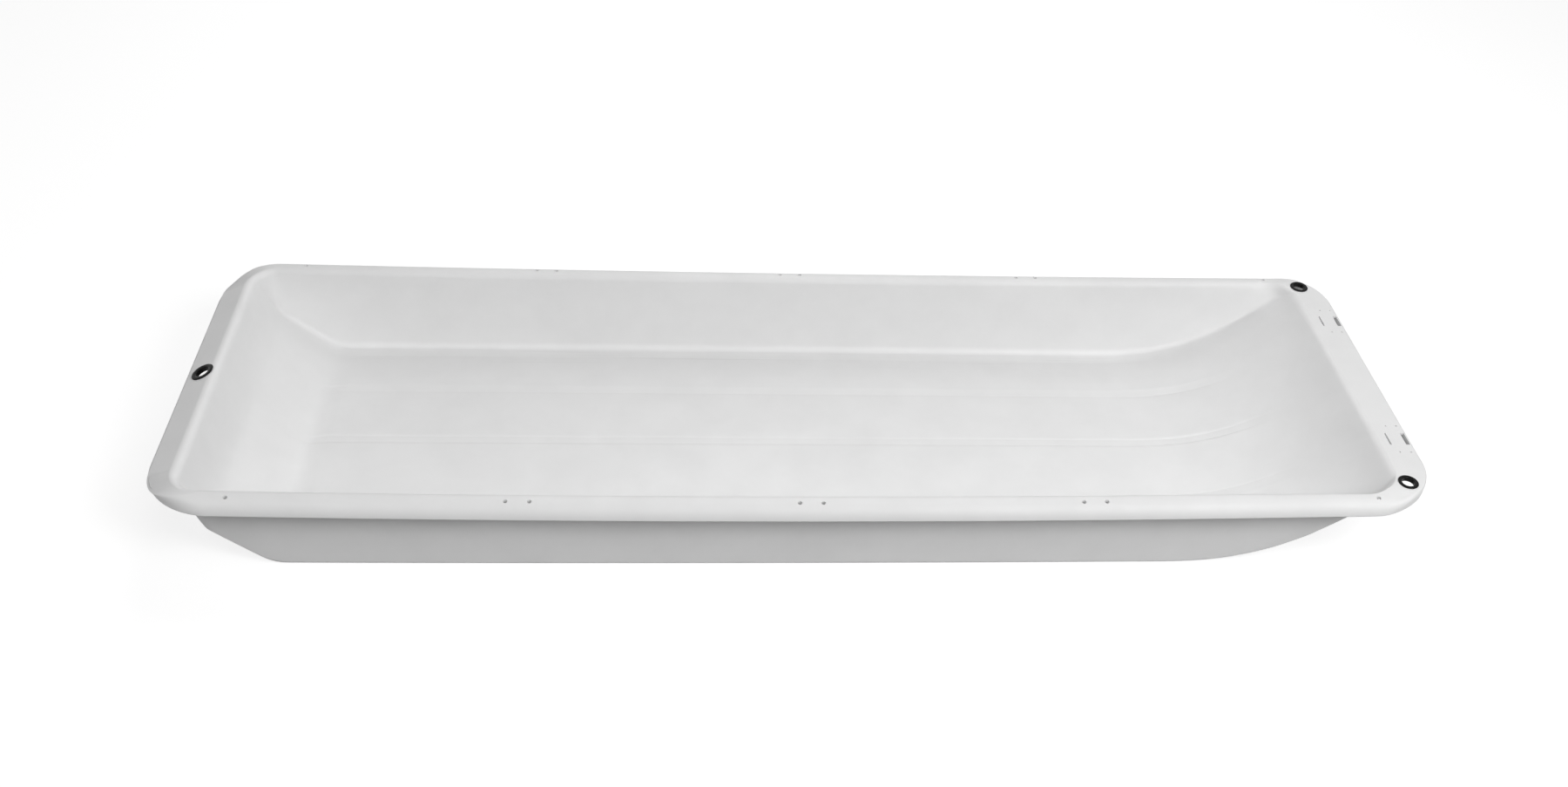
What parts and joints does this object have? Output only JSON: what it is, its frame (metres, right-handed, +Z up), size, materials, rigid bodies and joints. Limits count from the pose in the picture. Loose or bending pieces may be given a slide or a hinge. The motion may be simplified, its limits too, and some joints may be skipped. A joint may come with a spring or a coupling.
{
  "type": "pulk sled",
  "caption": "Shallow white one-piece pulk tub with a turned-down rim, upswept front, low keels and black ring eyelets for tow and trailing lines.",
  "frame": {"origin": "on the ground under the middle of the sled's length and width", "axes": "+X towards the towed, upswept front end, +Y to the sled's left, +Z up"},
  "size_m": [1.4996, 0.4904, 0.1283],
  "materials": {
    "tub_plastic": "satin white polyethylene",
    "eyelet_metal": "glossy black lacquer"
  },
  "bodies": {
    "root": {"sled_tub": "tub_plastic", "front_left_eyelet": "eyelet_metal", "front_right_eyelet": "eyelet_metal", "rear_eyelet": "eyelet_metal", "front_left_washer": "eyelet_metal", "front_right_washer": "eyelet_metal", "rear_washer": "eyelet_metal"}
  },
  "joints": []
}
